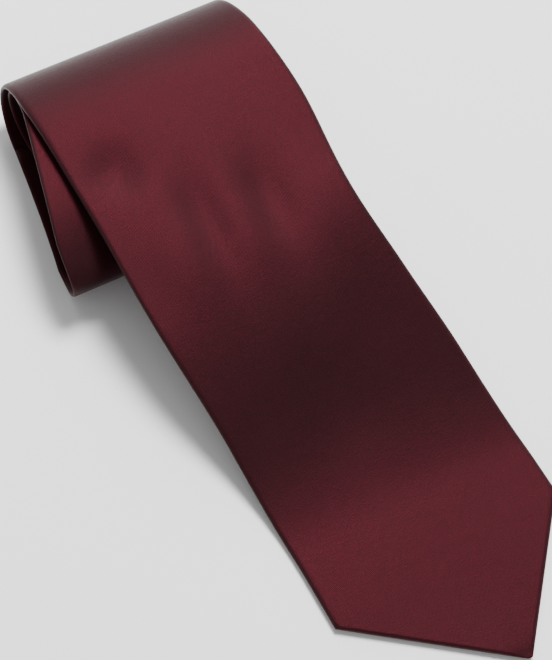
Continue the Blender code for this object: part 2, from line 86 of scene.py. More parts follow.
# ---- how the cloth looks --------------------------------------------------------------------------
EDGE_ROLL = 0.5 * MM              # the rolled edge stands this far outside the strip's line
CLOTH = 0.32 * MM                 # thickness of the satin that shows
BLADE_HALF = 1.15 * MM            # half the puffed thickness of the front blade
WOUND_HALF = 0.70 * MM            # and of the wound layers, pressed together
HEM = 5.5 * MM                    # satin turned over along the two edges of the point
SLIT = 0.3 * MM                   # gap between the two back flaps
ROW = 2.6 * MM                    # spacing of rows along the front blade
FOLD_DRAW_IN = 2.5 * MM           # the right edge is drawn in this much round the outer fold


def ease(t):
    t = min(1.0, max(0.0, t))
    return t * t * (3 - 2 * t)


def between(points, at):
    """A smooth curve through a few control points given as (position, value)."""
    order = sorted(points)
    if at <= order[0][0]:
        return order[0][1]
    if at >= order[-1][0]:
        return order[-1][1]
    n = len(order)
    slopes = []
    for i in range(n):
        a = order[max(0, i - 1)]
        b = order[min(n - 1, i + 1)]
        slopes.append((b[1] - a[1]) / (b[0] - a[0]))
    for i in range(n - 1):
        if order[i][0] <= at <= order[i + 1][0]:
            h = order[i + 1][0] - order[i][0]
            t = (at - order[i][0]) / h
            return ((1 + 2 * t) * (1 - t) ** 2 * order[i][1] + t * (1 - t) ** 2 * h * slopes[i]
                    + t * t * (3 - 2 * t) * order[i + 1][1] + t * t * (t - 1) * h * slopes[i + 1])
    return order[-1][1]


LAYER_3_TOP = STRIP + 2 * FOLD_2_RADIUS
BLADE_TOP_Z = LAYER_3_TOP + KEEPER_ROOM + STRIP / 2
FOLD_1_RADIUS = (BLADE_TOP_Z - STRIP / 2) / 2
FOLD_1_Z = STRIP / 2 + FOLD_1_RADIUS
BLADE_LOW_Z = BLADE_REST + STRIP / 2
# the CAD model's move to the middle of its base
MOVE = Vector((-0.000993, -0.001075, 0.0))
SHOULDER_Y = 0.0960               # the shown blade starts to turn over here
SHOULDER_LONG = FOLD_1_Y + FOLD_1_RADIUS - SHOULDER_Y


def shoulder(y):
    """Height and normal of the broad shoulder that leads into the outer fold."""
    t = min(0.9999, (y - SHOULDER_Y) / SHOULDER_LONG)
    h = math.sqrt(1 - t * t)
    normal = Vector((0.0, t / SHOULDER_LONG, h / FOLD_1_RADIUS)).normalized()
    return FOLD_1_Z + FOLD_1_RADIUS * h, normal


def blade_height(y):
    if y > SHOULDER_Y:
        return shoulder(y)[0]
    t = (y - SLOPE_END_Y) / (SLOPE_TOP_Y - SLOPE_END_Y)
    return BLADE_LOW_Z + (BLADE_TOP_Z - BLADE_LOW_Z) * ease(t)


def blade_normal(y):
    if y > SHOULDER_Y:
        return shoulder(y)[1]
    h = 0.0002
    slope = (blade_height(y + h) - blade_height(y - h)) / (2 * h)
    return Vector((0.0, -slope, 1.0)).normalized()


def left_edge(y):
    if y >= LEFT_CORNER[1]:
        return between(LEFT_EDGE, y)
    t = (LEFT_CORNER[1] - y) / (LEFT_CORNER[1] - POINT[1])
    return LEFT_CORNER[0] + (POINT[0] - LEFT_CORNER[0]) * t


def right_edge(y):
    if y >= RIGHT_CORNER[1]:
        return between(RIGHT_EDGE, y)
    t = (RIGHT_CORNER[1] - y) / (RIGHT_CORNER[1] - POINT[1])
    return RIGHT_CORNER[0] + (POINT[0] - RIGHT_CORNER[0]) * t


def seam_x(y):
    if y >= SEAM_TURN_Y:
        return (left_edge(y) + right_edge(y)) / 2
    top = (left_edge(SEAM_TURN_Y) + right_edge(SEAM_TURN_Y)) / 2
    return top + (POINT[0] - top) * (SEAM_TURN_Y - y) / (SEAM_TURN_Y - POINT[1])


def hollow(x, y, at, size, depth):
    dx = (x - at[0]) / size[0]
    dy = (y - at[1]) / size[1]
    return -depth * math.exp(-(dx * dx + dy * dy))


# soft hollows in the laid blade: middle, half size and depth
HOLLOWS = (((-0.0305, 0.0765), (0.0090, 0.0090), 2.10 * MM),
           ((-0.0100, 0.0480), (0.0075, 0.0180), 2.00 * MM),
           ((0.0135, 0.0470), (0.0085, 0.0160), 2.20 * MM),
           ((-0.0400, 0.0380), (0.0120, 0.0170), 1.80 * MM),
           ((0.0040, -0.0200), (0.0240, 0.0180), 1.10 * MM),
           ((0.0300, 0.0000), (0.0120, 0.0180), 0.60 * MM))
DROOP = 2.3 * MM                  # the blade sinks this much as it crosses the winding
DROOP_FROM_Y = 0.0960
DROOP_LONG = 0.0550
DROOP_FADE_Y = -0.02              # it has no droop left on the table, past here
DROOP_FADE = 0.05
PRESS_TOP = 0.8                   # share of the relief that the first layer below takes
PRESS_LOSS = 0.1                  # and how much less each layer under it takes


def press(layer):
    """How much of the blade's relief is pressed into the top layers of the winding under it."""
    k = round(layer)
    if k < 3 or k % 2 == 0:
        return 0.0
    return max(0.0, PRESS_TOP - PRESS_LOSS * (k - 3)) * (1.0 - ease(abs(layer - k) * 2))


def relief(x, y):
    """How the laid blade departs from a plain sheet: droop, soft hollows, faint waviness."""
    down = -DROOP * ease((DROOP_FROM_Y - y) / DROOP_LONG) * ease((y - DROOP_FADE_Y) / DROOP_FADE)
    for middle, size, depth in HOLLOWS:
        down += hollow(x, y, middle, size, depth)
    wave = math.sin(x * 70 + y * 33) * 0.10 + math.sin(y * 92 - x * 41 + 1.3) * 0.08
    return down + wave * MM


class Row:
    """One cross-section of the strip."""

    def __init__(self, y, z, normal, left, right, half, along, flaps=None, skew=0.0, lift=1.0):
        self.y = y
        self.z = z
        self.normal = normal
        self.left = left
        self.right = right
        self.half = half
        self.along = along
        middle = (left + right) / 2
        self.flaps = flaps or (middle - SLIT / 2, middle + SLIT / 2)
        self.skew = skew
        self.lift = lift

    def at(self, x, depth):
        middle = (self.left + self.right) / 2
        p = Vector((x, self.y + self.normal.y * depth + self.skew * (x - middle),
                    self.z + self.normal.z * depth))
        if self.lift:
            p.z += self.lift * relief(x, self.y)
        return p + MOVE


def blade_flaps(y, left, right):
    """Inner edges of the two back flaps: they part at the bar tack and show the tipping."""
    seam = seam_x(y)
    a = seam - SLIT / 2
    b = seam + SLIT / 2
    if y < V_TOP_Y:
        end_left = left_edge(LEFT_CORNER[1]) + HEM * 1.6
        end_right = right_edge(RIGHT_CORNER[1]) - HEM * 1.6
        top = seam_x(V_TOP_Y)
        t = (V_TOP_Y - y) / (V_TOP_Y - LEFT_CORNER[1])
        a = top + (end_left - top) * t
        t = (V_TOP_Y - y) / (V_TOP_Y - RIGHT_CORNER[1])
        b = top + (end_right - top) * t
        a = max(a, left + HEM * 1.6) if y > LEFT_CORNER[1] else left + HEM * 1.6
        b = min(b, right - HEM * 1.3) if y > RIGHT_CORNER[1] else right - HEM * 1.3
        a = min(a, seam_x(y) - SLIT / 2, (left + right) / 2 - SLIT / 2)
        b = max(b, a + SLIT)
    return a, b


def blade_row(y, along):
    left = left_edge(y) - EDGE_ROLL
    right = right_edge(y) + EDGE_ROLL
    half = BLADE_HALF * min(1.0, 0.25 + 0.75 * ease((y - POINT[1]) / (6 * MM)))
    return Row(y, blade_height(y), blade_normal(y), left, right, half, along,
               blade_flaps(y, left, right))


# ---- the winding ----------------------------------------------------------------------------------
def fold_radius(k):
    if k == 1:
        return FOLD_1_RADIUS
    return FOLD_2_RADIUS - (k - 2) * PITCH / 2


def blade_length(y):
    """Length along the blade from its point to y."""
    steps = 120
    total = 0.0
    last = Vector((POINT[0], POINT[1], blade_height(POINT[1])))
    for i in range(1, steps + 1):
        v = POINT[1] + (y - POINT[1]) * i / steps
        here = Vector((seam_x(v), v, blade_height(v)))
        total += (here - last).length
        last = here
    return total


TOP_LENGTH = blade_length(FOLD_1_Y)


def wound_row(layer, turn, y, z, normal, along):
    width = between(WIDTHS, along)
    middle = between(MIDDLES, turn)
    lift = press(layer)
    half = WOUND_HALF
    left = middle - width / 2
    right = middle + width / 2
    if layer < 2.0:
        t = ease(layer - 1.0)
        left = (1 - t) * (left_edge(FOLD_1_Y) - EDGE_ROLL) + t * left
        right = (1 - t) * (right_edge(FOLD_1_Y) + EDGE_ROLL) + t * right
        right -= FOLD_DRAW_IN * math.sin(math.pi * (layer - 1.0))
        half = BLADE_HALF + (WOUND_HALF - BLADE_HALF) * ease((layer - 1.0) * 1.2)
        lift = 1.0 - ease((layer - 1.0) * 1.5)
        if layer < 1.5:
            z, normal = shoulder(y)
    return Row(y, z, normal, left, right, half, along, lift=lift)


NEAR_SHOULDER_Y = 0.0860          # the top layers start to turn down into the near folds here


def near_shoulder(y, r, centre_z):
    """Height and normal of a top layer where it leads down into a near fold of radius r."""
    long = NEAR_SHOULDER_Y - (FOLD_2_Y - r)
    t = min(0.9999, (NEAR_SHOULDER_Y - y) / long)
    h = math.sqrt(1 - t * t)
    return centre_z + r * h, Vector((0.0, -t / long, h / r)).normalized()


def winding(steps_outer, steps_inner, straight):
    """Rows along the whole winding, from the top of the outer fold inwards."""
    rows = []
    z = BLADE_TOP_Z
    along = TOP_LENGTH
    for k in range(1, TURNS + 1):
        r = fold_radius(k)
        outward = 1.0 if k % 2 else -1.0
        centre_y = FOLD_1_Y if k % 2 else FOLD_2_Y
        centre_z = z - r if k % 2 else z + r
        steps = steps_outer if k <= 3 else steps_inner
        for i in range(steps + 1):
            a = math.pi * i / steps
            side = outward * math.sin(a)
            up = math.cos(a) if k % 2 else -math.cos(a)
            start = 1.0 if k == 1 else k + TURN_START
            turn = start + (k + TURN_END - start) * i / steps
            here_y = centre_y + r * side
            here_z = centre_z + r * up
            normal = Vector((0.0, side, up))
            if k % 2 == 0 and up > 1e-6:
                here_z, normal = near_shoulder(here_y, r, centre_z)
            rows.append(wound_row(k + i / steps, turn, here_y, here_z, normal, along + r * a))
        along += math.pi * r
        z = centre_z - r if k % 2 else centre_z + r
        # the straight to the next turn
        run = FOLD_2_Y - FOLD_1_Y if k % 2 else FOLD_1_Y - FOLD_2_Y
        if k < TURNS:
            for i in range(1, straight):
                here_y = centre_y + run * i / straight
                here_z = z
                normal = Vector((0.0, 0.0, -1.0 if k % 2 else 1.0))
                if k % 2 == 0 and here_y < NEAR_SHOULDER_Y:
                    here_z, normal = near_shoulder(here_y, r, centre_z)
                turn = k + TURN_END + (1.0 + TURN_START - TURN_END) * i / straight
                rows.append(wound_row(k + 1.0, turn, here_y, here_z, normal,
                                      along + abs(run) * i / straight))
        along += abs(run)
    return rows


# ---- meshes ---------------------------------------------------------------------------------------
ROLL_STEPS = 7                    # faces round each rolled edge


def skin_faces(rings):
    """Faces between neighbouring rings, and those that close both cut ends between the skins."""
    count = len(rings[0])
    faces = []
    for a, b in zip(rings, rings[1:]):
        for i in range(count):
            j = (i + 1) % count
            faces.append((a[i], b[i], b[j], a[j]))
    first = rings[0]
    last = rings[-1]
    for i in range(count // 2 - 1):
        faces.append((first[i], first[i + 1], first[count - 2 - i], first[count - 1 - i]))
        faces.append((last[i + 1], last[i], last[count - 1 - i], last[count - 2 - i]))
    return faces


def roll(half, reach, inset):
    """Half-round edge points, from the back to the front, as (inset from the edge, depth)."""
    out = []
    for i in range(ROLL_STEPS + 1):
        a = -math.pi / 2 + math.pi * i / ROLL_STEPS
        out.append((reach - (reach - inset) * math.cos(a), half * math.sin(a)))
    return out


def loop(row, inset, top_columns, back_columns):
    """The envelope's outline in one cross-section: back flap, edge, front, edge, back flap."""
    half = row.half - inset
    width = row.right - row.left
    reach = min(1.7 * row.half, width * 0.24)
    edge = roll(half, reach, inset)
    points = []
    a, b = row.flaps
    a = max(a, row.left + reach + 0.05 * MM)
    b = min(b, row.right - reach - 0.05 * MM)
    if b - a < 0.15 * MM:
        middle = (row.left + row.right) / 2
        a = middle - 0.075 * MM
        b = middle + 0.075 * MM
        a = max(a, row.left + reach * 1.02)
        b = min(b, row.right - reach * 1.02)
    for i in range(back_columns):
        t = i / back_columns
        points.append((a + (row.left + reach - a) * t, -half))
    for inward, depth in edge[:-1]:
        points.append((row.left + inward, depth))
    for i in range(top_columns + 1):
        t = i / top_columns
        points.append((row.left + reach + (width - 2 * reach) * t, half))
    for inward, depth in list(reversed(edge))[1:]:
        points.append((row.right - inward, depth))
    for i in range(1, back_columns + 1):
        t = i / back_columns
        points.append((row.right - reach + (b - row.right + reach) * t, -half))
    return points


def envelope(rows, top_columns, back_columns):
    """Vertices, faces, UVs and a rolled-edge mask for a painted highlight, of a satin envelope along
    the rows.
    """
    verts = []
    uvs = []
    rims = []
    rings = []
    for row in rows:
        outer = loop(row, 0.0, top_columns, back_columns)
        inner = loop(row, CLOTH, top_columns, back_columns)
        n = len(outer)
        length = [0.0]
        for i in range(1, n):
            length.append(length[-1] + math.dist(outer[i], outer[i - 1]))
        ring = []
        for points, side in ((outer, 0), (inner, 1)):
            order = range(n) if side == 0 else range(n - 1, -1, -1)
            for i in order:
                x, depth = points[i]
                ring.append(len(verts))
                verts.append(row.at(x, depth))
                uvs.append((length[i] - length[-1] / 2, row.along))
                # the rim mask: strongest at the outer skin's rolled edges, where the satin gets a
                # painted highlight
                edge = min(x - row.left, row.right - x) / (2.2 * row.half)
                rims.append(max(0.0, 1.0 - edge) if side == 0 else 0.0)
        rings.append(ring)
    return verts, skin_faces(rings), uvs, rims, len(rings[0])


def slab(rows, inset, low, high, columns, trim=0.0):
    """A flat layer inside the envelope, between two depths, as envelope() gives it."""
    verts = []
    uvs = []
    rings = []
    for row in rows:
        a = row.left + inset + trim
        b = row.right - inset - trim
        ring = []
        for i in range(columns + 1):
            x = a + (b - a) * i / columns
            ring.append(len(verts))
            verts.append(row.at(x, high))
            uvs.append((x, row.along))
        for i in range(columns, -1, -1):
            x = a + (b - a) * i / columns
            ring.append(len(verts))
            verts.append(row.at(x, low))
            uvs.append((x, row.along))
        rings.append(ring)
    return verts, skin_faces(rings), uvs, None, len(rings[0])


def outward(verts, faces):
    """True if the faces of a closed mesh point outwards."""
    volume = 0.0
    for f in faces:
        a = verts[f[0]]
        for i in range(1, len(f) - 1):
            volume += a.dot(verts[f[i]].cross(verts[f[i + 1]]))
    return volume > 0


def facing_out(verts, faces):
    return faces if outward(verts, faces) else [tuple(reversed(f)) for f in faces]


def add_object(name, data):
    obj = bpy.data.objects.new(name, data)
    bpy.context.scene.collection.objects.link(obj)
    return obj


def make_mesh(name, verts, faces, uvs=None, rims=None, normals=None):
    mesh = bpy.data.meshes.new(name)
    mesh.from_pydata([tuple(v) for v in verts], [], faces)
    for p in mesh.polygons:
        p.use_smooth = True
    if uvs:
        layer = mesh.uv_layers.new(name="cloth")
        for p in mesh.polygons:
            for k, v in zip(p.loop_indices, p.vertices):
                layer.data[k].uv = uvs[v]
    if rims:
        # the rim mask, for the satin's painted highlight along its rolled edges
        rim_highlight = mesh.attributes.new("rim", "FLOAT", "POINT")
        rim_highlight.data.foreach_set("value", np.array(rims, np.float32))
    if normals is not None:
        mesh.normals_split_custom_set_from_vertices(normals)
    return add_object(name, mesh)


def end_faces(start, count, flip):
    """Faces that close the cut end of a run, between its outer and inner skins."""
    faces = []
    for i in range(count // 2 - 1):
        face = (start + i, start + i + 1, start + count - 2 - i, start + count - 1 - i)
        faces.append(tuple(reversed(face)) if flip else face)
    return faces


def cloth(names, build, rows, cuts):
    """One run of cloth, made in several pieces that share their normals where they meet."""
    verts, faces, uvs, rims, count = build(rows)
    flipped = not outward(verts, faces)
    if flipped:
        faces = [tuple(reversed(f)) for f in faces]
    whole = make_mesh("whole", verts, faces)
    normals = [Vector(n.vector) for n in whole.data.vertex_normals]
    bpy.data.objects.remove(whole, do_unlink=True)
    bounds = [0] + list(cuts) + [len(rows) - 1]
    out = []
    for name, low, high in zip(names, bounds, bounds[1:]):
        keep = [v for r in range(low, high + 1) for v in range(r * count, (r + 1) * count)]
        new = {v: i for i, v in enumerate(keep)}
        mine = [tuple(new[v] for v in f) for f in faces if all(v in new for v in f)]
        if low > 0:
            mine += end_faces(0, count, flipped)
        if high < len(rows) - 1:
            mine += end_faces((high - low) * count, count, not flipped)
        out.append(make_mesh(name, [verts[v] for v in keep], mine, [uvs[v] for v in keep],
                             [rims[v] for v in keep] if rims else None,
                             [normals[v] for v in keep]))
    return out


# ---- small shapes ---------------------------------------------------------------------------------
THREAD_TAPER = 0.55               # a thread's ends are this much of its thickness


def threads(name, paths, radius, sides=7):
    """Round threads along a few paths, each closed at its tapered ends, as one mesh."""
    verts = []
    faces = []
    uvs = []
    for path in paths:
        n = len(path)
        base = len(verts)
        run = 0.0
        for i in range(n):
            ahead = path[min(n - 1, i + 1)]
            behind = path[max(0, i - 1)]
            way = (ahead - behind).normalized()
            across = way.cross(Vector((0.0, 0.0, 1.0)))
            if across.length < 0.1:
                across = way.cross(Vector((1.0, 0.0, 0.0)))
            across.normalize()
            other = way.cross(across)
            r = radius * (THREAD_TAPER if i in (0, n - 1) else 1.0)
            if i:
                run += (path[i] - path[i - 1]).length
            for k in range(sides):
                a = 2 * math.pi * k / sides
                verts.append(path[i] + across * (r * math.cos(a)) + other * (r * math.sin(a)))
                uvs.append((radius * a, run))
        for i in range(n - 1):
            for k in range(sides):
                m = (k + 1) % sides
                a = base + i * sides
                b = a + sides
                faces.append((a + k, b + k, b + m, a + m))
        faces.append(tuple(base + k for k in range(sides)))
        faces.append(tuple(base + (n - 1) * sides + k for k in reversed(range(sides))))
    return make_mesh(name, verts, facing_out(verts, faces), uvs)


def patch(name, ys, x_low, x_high, low, high, columns=16):
    """A flat piece that lies on the blade's back between two depths; low and high may vary."""
    verts = []
    uvs = []
    rings = []
    for y in ys:
        row = blade_row(y, y)
        ring = []
        a = x_low(y)
        b = x_high(y)
        for side in (0, 1):
            order = range(columns + 1) if side == 0 else range(columns, -1, -1)
            for i in order:
                x = a + (b - a) * i / columns
                depth = high(x, y) if side == 0 else low(x, y)
                ring.append(len(verts))
                verts.append(row.at(x, depth))
                uvs.append((x, y))
        rings.append(ring)
    return make_mesh(name, verts, facing_out(verts, skin_faces(rings)), uvs)


def steps_between(low, high, step):
    n = max(1, math.ceil(abs(high - low) / step))
    return [low + (high - low) * i / n for i in range(n + 1)]


# ---- materials ------------------------------------------------------------------------------------
TWILL = 0.55 * MM                 # spacing of the satin's ribs
TWIST = 0.8 * MM                  # one turn of the sewing thread
THREAD_RADIUS = 0.17 * MM
FINE_THREAD = 0.13 * MM           # radius of the label's and the tail tack's thread
WOUND_THREAD = 0.12 * MM          # and of the seam thread pressed between the wound layers
WINE = (0.0250, 0.0088, 0.0104)
WINE_DARK = (0.0096, 0.0042, 0.0048)
WINE_KEEPER = (0.022, 0.0080, 0.0095)
EDGE_HIGHLIGHT = (0.034, 0.012, 0.014)    # painted highlight: the satin's colour drawn lighter along its rolled edges, where they catch the light
GLOSS_TINT = (1.0, 0.07, 0.17, 1.0)
GLOSS = 0.172
STREAK = 0.55                     # how far the gloss is drawn out across the yarns
SHEEN_TINT = (0.86, 0.66, 0.70, 1.0)


class Nodes:
    """A small helper that makes and links shader nodes."""

    def __init__(self, name):
        self.material = bpy.data.materials.new(name)
        self.material.use_nodes = True
        self.tree = self.material.node_tree
        self.shader = self.tree.nodes["Principled BSDF"]

    def add(self, kind, **settings):
        node = self.tree.nodes.new(kind)
        for key, value in settings.items():
            setattr(node, key, value)
        return node

    def link(self, a, b):
        self.tree.links.new(a, b)

    def math(self, operation, a, b=None):
        node = self.add("ShaderNodeMath", operation=operation)
        for socket, value in zip(node.inputs, (a, b)):
            if value is None:
                continue
            if isinstance(value, (int, float)):
                socket.default_value = value
            else:
                self.link(value, socket)
        return node.outputs[0]

    def mix(self, factor, a, b):
        node = self.add("ShaderNodeMix", data_type="RGBA")
        for socket, value in ((node.inputs[0], factor), (node.inputs[6], a), (node.inputs[7], b)):
            if isinstance(value, (int, float)):
                socket.default_value = value
            elif isinstance(value, tuple):
                socket.default_value = (*value, 1.0)
            else:
                self.link(value, socket)
        return node.outputs[2]

    def noise(self, vector, scale, detail=3.0, rough=0.5):
        node = self.add("ShaderNodeTexNoise")
        node.inputs["Scale"].default_value = scale
        node.inputs["Detail"].default_value = detail
        node.inputs["Roughness"].default_value = rough
        if vector is not None:
            self.link(vector, node.inputs["Vector"])
        return node.outputs["Fac"]

    def bump(self, height, strength, distance):
        node = self.add("ShaderNodeBump")
        node.inputs["Strength"].default_value = strength
        node.inputs["Distance"].default_value = distance
        self.link(height, node.inputs["Height"])
        self.link(node.outputs["Normal"], self.shader.inputs["Normal"])


def cloth_uv(nodes):
    """The cloth's own coordinates, whole and as across and along."""
    uv = nodes.add("ShaderNodeUVMap", uv_map="cloth").outputs["UV"]
    split = nodes.add("ShaderNodeSeparateXYZ")
    nodes.link(uv, split.inputs[0])
    return uv, split.outputs["X"], split.outputs["Y"]


def weave(nodes, across, along):
    """Height of a twill in the cloth's own coordinates: diagonal ribs crossed by fine yarns."""
    uv, u, v = cloth_uv(nodes)
    rib = nodes.math("ADD", nodes.math("MULTIPLY", u, 2 * math.pi / across),
                     nodes.math("MULTIPLY", v, 2 * math.pi / along))
    ribs = nodes.math("SINE", rib)
    yarns = nodes.math("SINE", nodes.math("MULTIPLY", v, 2 * math.pi / (across * 0.62)))
    return uv, ribs, nodes.math("ADD", ribs, nodes.math("MULTIPLY", yarns, 0.45))


def satin(name, light, dark, rough, sheen):
    """Wine satin: a soft broad gloss across the strip, a fine twill and a slightly slubbed yarn."""
    nodes = Nodes(name)
    uv, ribs, height = weave(nodes, TWILL, TWILL * 1.25)
    place = nodes.add("ShaderNodeTexCoord").outputs["Object"]
    cloudy = nodes.noise(place, 34.0, 4.0, 0.55)
    stretched = nodes.add("ShaderNodeMapping")
    stretched.inputs["Scale"].default_value = (260.0, 2600.0, 1.0)
    nodes.link(uv, stretched.inputs["Vector"])
    slub = nodes.noise(stretched.outputs["Vector"], 1.0, 3.0, 0.6)
    grain = nodes.noise(place, 1900.0, 3.0, 0.7)
    tone = nodes.math("ADD", nodes.math("MULTIPLY", cloudy, 0.45),
                      nodes.math("MULTIPLY", slub, 0.25))
    tone = nodes.math("ADD", tone, nodes.math("MULTIPLY", grain, 1.30))
    tone = nodes.math("SUBTRACT", tone, 0.42)
    tone = nodes.math("ADD", tone, nodes.math("MULTIPLY", ribs, 0.05))
    base = nodes.mix(tone, dark, light)
    # painted highlight: the base colour is mixed towards a lighter wine along the rolled edges
    rim = nodes.add("ShaderNodeAttribute", attribute_name="rim").outputs["Fac"]
    edge_highlight = nodes.math("MULTIPLY", nodes.math("POWER", rim, 3.0), 0.22)
    base = nodes.mix(edge_highlight, base, EDGE_HIGHLIGHT)
    nodes.link(base, nodes.shader.inputs["Base Color"])
    roughness = nodes.math("ADD", nodes.math("MULTIPLY", cloudy, 0.10), rough - 0.05)
    roughness = nodes.math("ADD", roughness, nodes.math("MULTIPLY", grain, 0.06))
    nodes.link(roughness, nodes.shader.inputs["Roughness"])
    shader = nodes.shader.inputs
    shader["Specular Tint"].default_value = GLOSS_TINT
    shader["Specular IOR Level"].default_value = GLOSS
    shader["Anisotropic"].default_value = STREAK
    shader["Sheen Weight"].default_value = sheen
    shader["Sheen Roughness"].default_value = 0.38
    shader["Sheen Tint"].default_value = SHEEN_TINT
    tangent = nodes.add("ShaderNodeTangent", direction_type="UV_MAP", uv_map="cloth")
    nodes.link(tangent.outputs["Tangent"], shader["Tangent"])
    total = nodes.math("ADD", nodes.math("MULTIPLY", height, 0.45),
                       nodes.math("MULTIPLY", slub, 1.0))
    total = nodes.math("ADD", total, nodes.math("MULTIPLY", grain, 3.0))
    nodes.bump(total, 0.60, 0.00006)
    return nodes.material


def canvas(name, colour, other, rough, pitch, bump):
    """Plain woven cloth: crossed yarns over a mottled ground."""
    nodes = Nodes(name)
    _, u, v = cloth_uv(nodes)
    warp = nodes.math("SINE", nodes.math("MULTIPLY", u, 2 * math.pi / pitch))
    weft = nodes.math("SINE", nodes.math("MULTIPLY", v, 2 * math.pi / pitch))
    height = nodes.math("MULTIPLY", warp, weft)
    place = nodes.add("ShaderNodeTexCoord").outputs["Object"]
    blotch = nodes.noise(place, 180.0, 4.0, 0.6)
    tone = nodes.math("ADD", blotch, nodes.math("MULTIPLY", height, 0.15))
    nodes.link(nodes.mix(tone, colour, other), nodes.shader.inputs["Base Color"])
    nodes.link(nodes.math("ADD", nodes.math("MULTIPLY", blotch, 0.12), rough - 0.06),
               nodes.shader.inputs["Roughness"])
    nodes.shader.inputs["Sheen Weight"].default_value = 0.12
    nodes.bump(height, bump, pitch * 0.12)
    return nodes.material


def sewing_thread(name, colour, other):
    """Twisted sewing thread: a spiral of two plies with loose fibres."""
    nodes = Nodes(name)
    _, u, v = cloth_uv(nodes)
    turn = nodes.math("ADD", nodes.math("MULTIPLY", u, 2 / THREAD_RADIUS),
                      nodes.math("MULTIPLY", v, 2 * math.pi / TWIST))
    ply = nodes.math("SINE", turn)
    fibre = nodes.noise(nodes.add("ShaderNodeTexCoord").outputs["Object"], 4200.0, 3.0, 0.6)
    tone = nodes.math("ADD", nodes.math("MULTIPLY", ply, 0.25), fibre)
    nodes.link(nodes.mix(tone, colour, other), nodes.shader.inputs["Base Color"])
    nodes.link(nodes.math("ADD", nodes.math("MULTIPLY", fibre, 0.2), 0.48),
               nodes.shader.inputs["Roughness"])
    nodes.bump(nodes.math("ADD", ply, fibre), 0.6, 0.00008)
    return nodes.material


def floor_material():
    nodes = Nodes("pale floor")
    place = nodes.add("ShaderNodeTexCoord").outputs["Object"]
    soft = nodes.noise(place, 3.0, 2.0, 0.5)
    nodes.link(nodes.mix(soft, (0.93, 0.93, 0.93), (0.96, 0.96, 0.96)),
               nodes.shader.inputs["Base Color"])
    nodes.shader.inputs["Roughness"].default_value = 0.85
    nodes.bump(nodes.noise(place, 900.0, 2.0, 0.5), 0.05, 0.0001)
    return nodes.material


SATIN = satin("wine satin", WINE, WINE_DARK, 0.31, 0.0)
SATIN_BACK = satin("wine satin, keeper", WINE_KEEPER, WINE_DARK, 0.48, 0.0)
LINING = canvas("wool canvas", (0.50, 0.46, 0.40), (0.38, 0.35, 0.30), 0.92, 0.8 * MM, 0.7)
TIPPING = canvas("tipping", (0.060, 0.010, 0.016), (0.035, 0.006, 0.010), 0.55, 0.22 * MM, 0.4)
DARK_LABEL = canvas("woven label", (0.030, 0.026, 0.028), (0.016, 0.014, 0.016), 0.6,
                    0.35 * MM, 0.6)
PALE_LABEL = canvas("care label", (0.80, 0.78, 0.73), (0.70, 0.68, 0.64), 0.7, 0.25 * MM, 0.4)
THREAD = sewing_thread("sewing thread", (0.16, 0.020, 0.032), (0.075, 0.010, 0.016))


def dress(piece, look, slot, *nodes):
    piece.data.materials.clear()
    piece.data.materials.append(look)
    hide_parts(*nodes)
    return piece


def bend_tip(piece):
    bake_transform(piece)


def bend_flex(piece):
    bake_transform(piece)


def bend_fold(piece):
    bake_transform(piece)


def on_winding(piece):
    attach(piece, "winding")


def on_upper(piece):
    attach(piece, "blade_upper")


def on_tip(piece):
    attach(piece, "blade_tip")


# ---- the front blade ------------------------------------------------------------------------------
TIP_BORDER = -0.026               # the front blade is drawn in three lengths that meet here
FOLD_BORDER = 0.0975              # and here
BLADE_COLUMNS = 84
BACK_COLUMNS = 12
LINING_FROM_POINT = 17 * MM       # the interlining starts this far from the point


def blade_ys():
    ys = [POINT[1] + 0.35 * MM, POINT[1] + 0.9 * MM, POINT[1] + 1.8 * MM, POINT[1] + 3.0 * MM]
    marks = [POINT[1] + 4.5 * MM, LEFT_CORNER[1], RIGHT_CORNER[1], V_TOP_Y, TIP_BORDER,
             FOLD_BORDER, FOLD_1_Y]
    for low, high in zip(marks, marks[1:]):
        ys += steps_between(low, high, ROW)[:-1]
    return ys


def envelope_width(row):
    """Cut width of the satin here: its front, and the two flaps turned in behind."""
    return 2 * (row.right - row.left) - (row.flaps[1] - row.flaps[0])


def single_width(row):
    """Cut width of a flat layer as wide as the strip."""
    return row.right - row.left


def cut_size(wide, along):
    """Width, length and area of a cut this wide at each of these distances along it."""
    area = 0.0
    for i in range(len(wide) - 1):
        area += (wide[i] + wide[i + 1]) / 2 * abs(along[i + 1] - along[i])
    return max(wide), abs(along[-1] - along[0]), area


def declare(rows, width=envelope_width):
    wide, long, area = cut_size([width(row) for row in rows], [row.along for row in rows])


YS = blade_ys()
blade_rows = [blade_row(y, blade_length(y)) for y in YS]
whole_line = winding(22, 12, 9)
fold_last = next(i for i, r in enumerate(whole_line) if r.z < STRIP / 2 + 1e-6)
fold_rows = whole_line[:fold_last + 1]
outer_rows = blade_rows + fold_rows
tip_cut = YS.index(TIP_BORDER)
fold_cut = YS.index(FOLD_BORDER)


def satin_of(rows):
    return envelope(rows, BLADE_COLUMNS, BACK_COLUMNS)


def lining_of(rows):
    return slab(rows, BLADE_HALF * 1.25, -0.45 * MM, 0.45 * MM, 24)


front = cloth(["front_satin_tip", "front_satin_middle", "front_satin_fold"],
              satin_of, outer_rows, (tip_cut, fold_cut))
for piece, nodes, low, high in (
        (front[0], ("front_blade_satin_tip",), 0, tip_cut),
        (front[1], ("front_blade_satin_middle", "front_blade_satin_upper"), tip_cut, fold_cut),
        (front[2], ("front_blade_satin_fold",), fold_cut, len(outer_rows) - 1)):
    dress(piece, SATIN, "satin", *nodes)
    declare(outer_rows[low:high + 1])
bend_tip(front[0])
bend_flex(front[1])
bend_fold(front[2])

